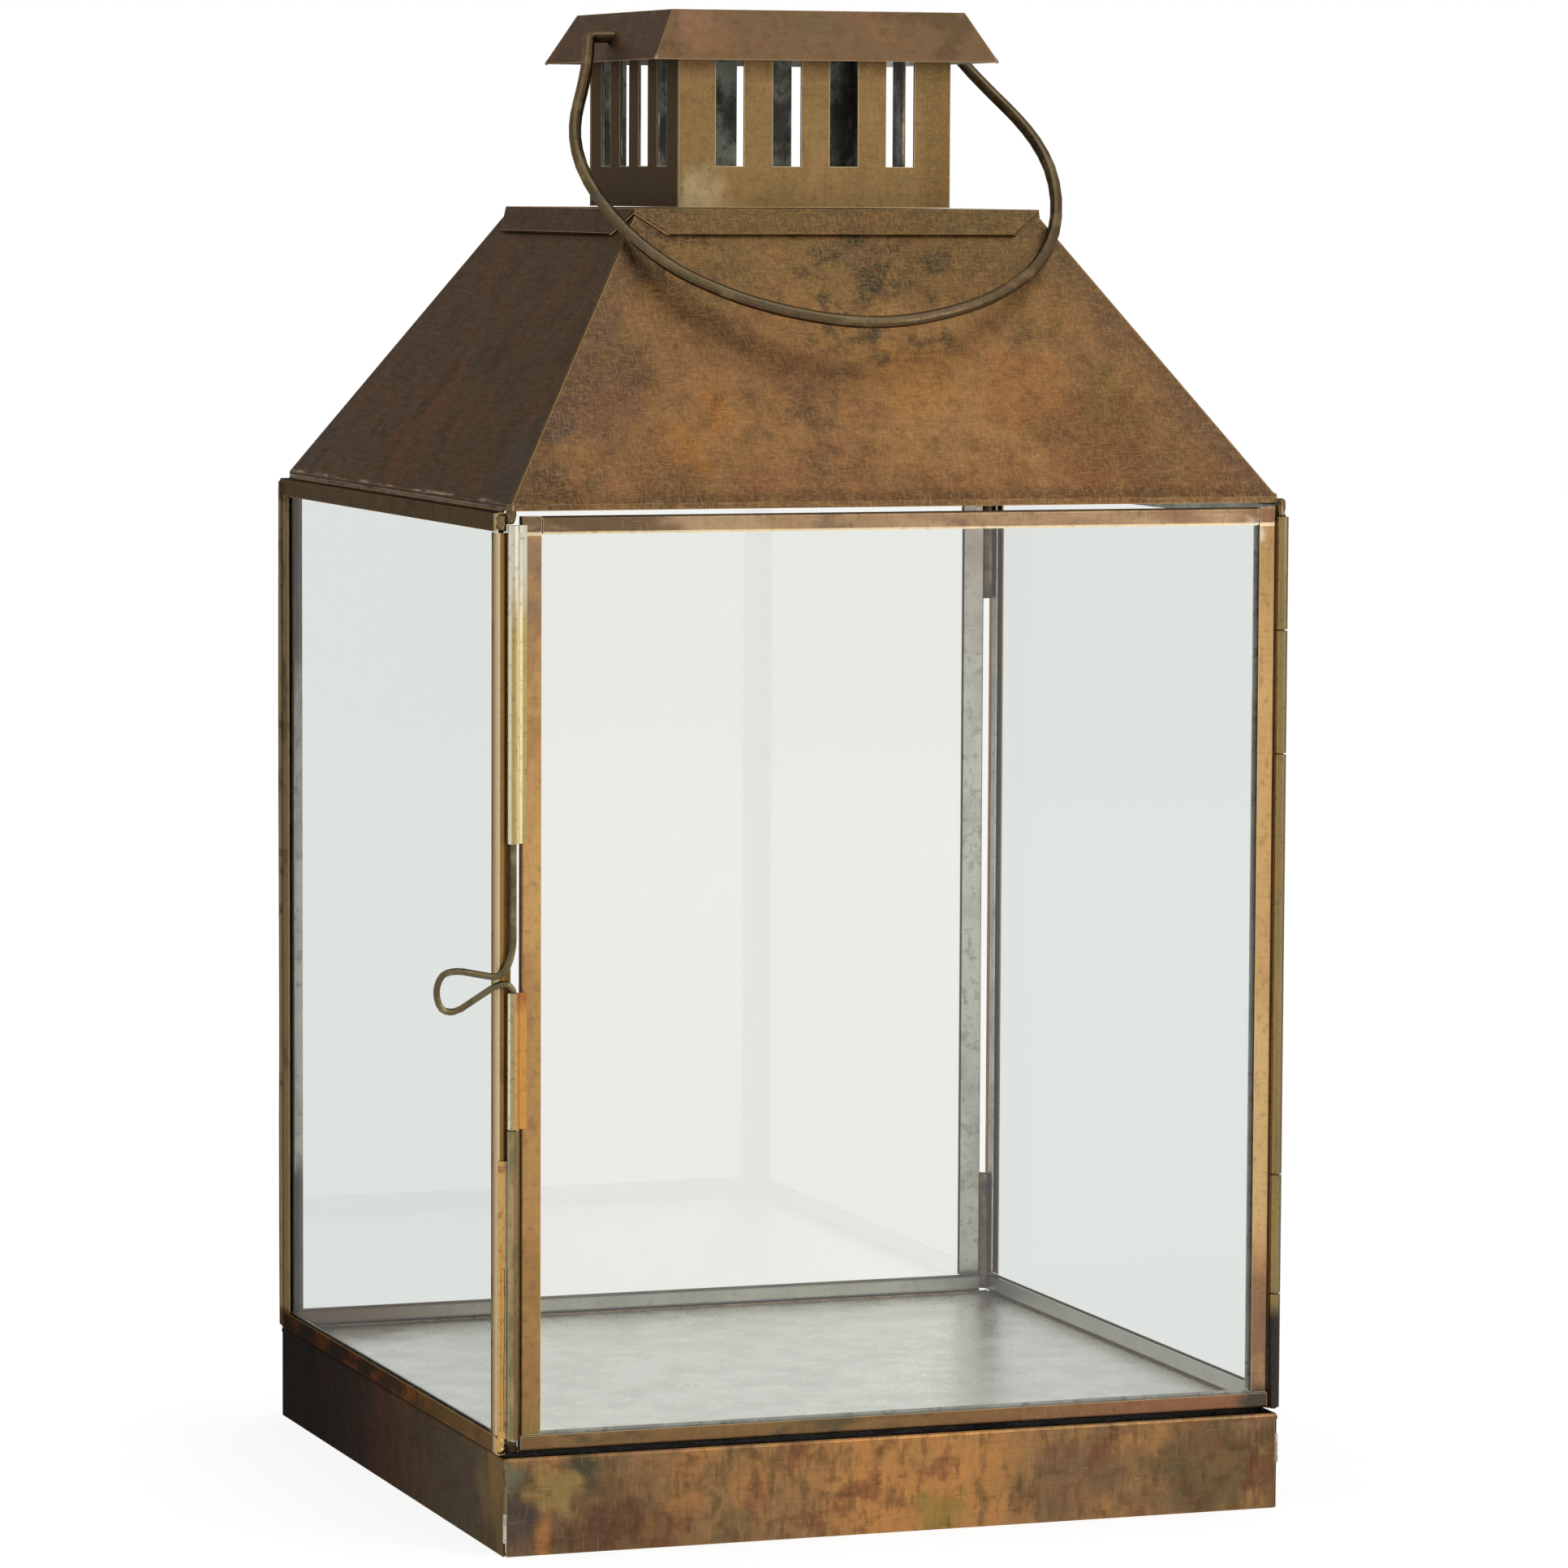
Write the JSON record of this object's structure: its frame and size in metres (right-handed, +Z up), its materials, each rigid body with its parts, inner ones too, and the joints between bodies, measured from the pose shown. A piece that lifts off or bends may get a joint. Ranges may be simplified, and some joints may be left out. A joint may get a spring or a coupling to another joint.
{
  "type": "lantern",
  "caption": "Square candle lantern of patinated brass sheet with glass sides, hinged front door on a pin latch, pyramid roof, slotted chimney and swinging wire bail.",
  "frame": {"origin": "middle of the whole outline in plan, latch loop included, at the surface the lantern stands on; the base pan's middle is 8.5 mm to +X of it", "axes": "+Z up, -Y out through the door, +X towards the door's hinge"},
  "size_m": [0.2403, 0.22, 0.4053],
  "materials": {
    "pan_brass": "antiqued brown patina, satin",
    "frame_brass": "antiqued brown-gold patina, satin",
    "dark_brass": "very dark brown patina, satin",
    "roof_brass": "orange-brown patina with dark spots, satin",
    "chimney_brass": "matte olive-gold patina",
    "cap_brass": "brown patina with orange-pink patches, satin",
    "tube_brass": "worn olive-gold, satin",
    "wire_brass": "drawn wire, olive-grey patina",
    "pane_glass": "clear polished"
  },
  "bodies": {
    "lantern": {"base_pan": "pan_brass", "left_frame_bottom_rail": "dark_brass", "left_frame_top_rail": "dark_brass", "left_frame_front_stile": "dark_brass", "left_frame_rear_stile": "dark_brass", "left_glass": "pane_glass", "right_frame_bottom_rail": "frame_brass", "right_frame_top_rail": "frame_brass", "right_frame_front_stile": "frame_brass", "right_frame_rear_stile": "frame_brass", "right_glass": "pane_glass", "back_frame_bottom_rail": "frame_brass", "back_frame_top_rail": "frame_brass", "back_frame_left_stile": "frame_brass", "back_frame_right_stile": "frame_brass", "back_glass": "pane_glass", "latch_tube_lower": "tube_brass", "hinge_tube_bottom": "tube_brass", "hinge_tube_middle": "tube_brass", "hinge_tube_top": "tube_brass", "hinge_pin": "wire_brass", "roof_front": "roof_brass", "roof_right": "roof_brass", "roof_back": "roof_brass", "roof_left": "roof_brass", "roof_top_plate": "roof_brass", "chimney_front": "chimney_brass", "chimney_back": "chimney_brass", "chimney_right": "chimney_brass", "chimney_left": "chimney_brass", "cap": "cap_brass"},
    "door": {"door_latch_stile": "frame_brass", "door_hinge_stile": "frame_brass", "door_top_rail": "dark_brass", "door_bottom_rail": "frame_brass", "door_glass": "pane_glass", "door_latch_knuckle": "tube_brass", "door_latch_tube": "tube_brass", "door_hinge_tube_lower": "tube_brass", "door_hinge_tube_upper": "tube_brass"},
    "latch": {"latch_pin": "wire_brass"},
    "handle": {"bail_handle": "wire_brass"}
  },
  "joints": [
    {"name": "door_hinge", "type": "hinge", "parent": "lantern", "child": "door", "pos_m": [0.1186, -0.1069, 0.15], "axis": [0, 0, 1], "range_deg": [0, 230]},
    {"name": "latch_lift", "type": "slide", "parent": "door", "child": "latch", "axis": [0, 0, 1], "range_m": [0, 0.02]},
    {"name": "handle_swing", "type": "hinge", "parent": "lantern", "child": "handle", "pos_m": [0.0085, 0, 0.3985], "axis": [-1, 0, 0], "range_deg": [0, 259.1]}
  ]
}
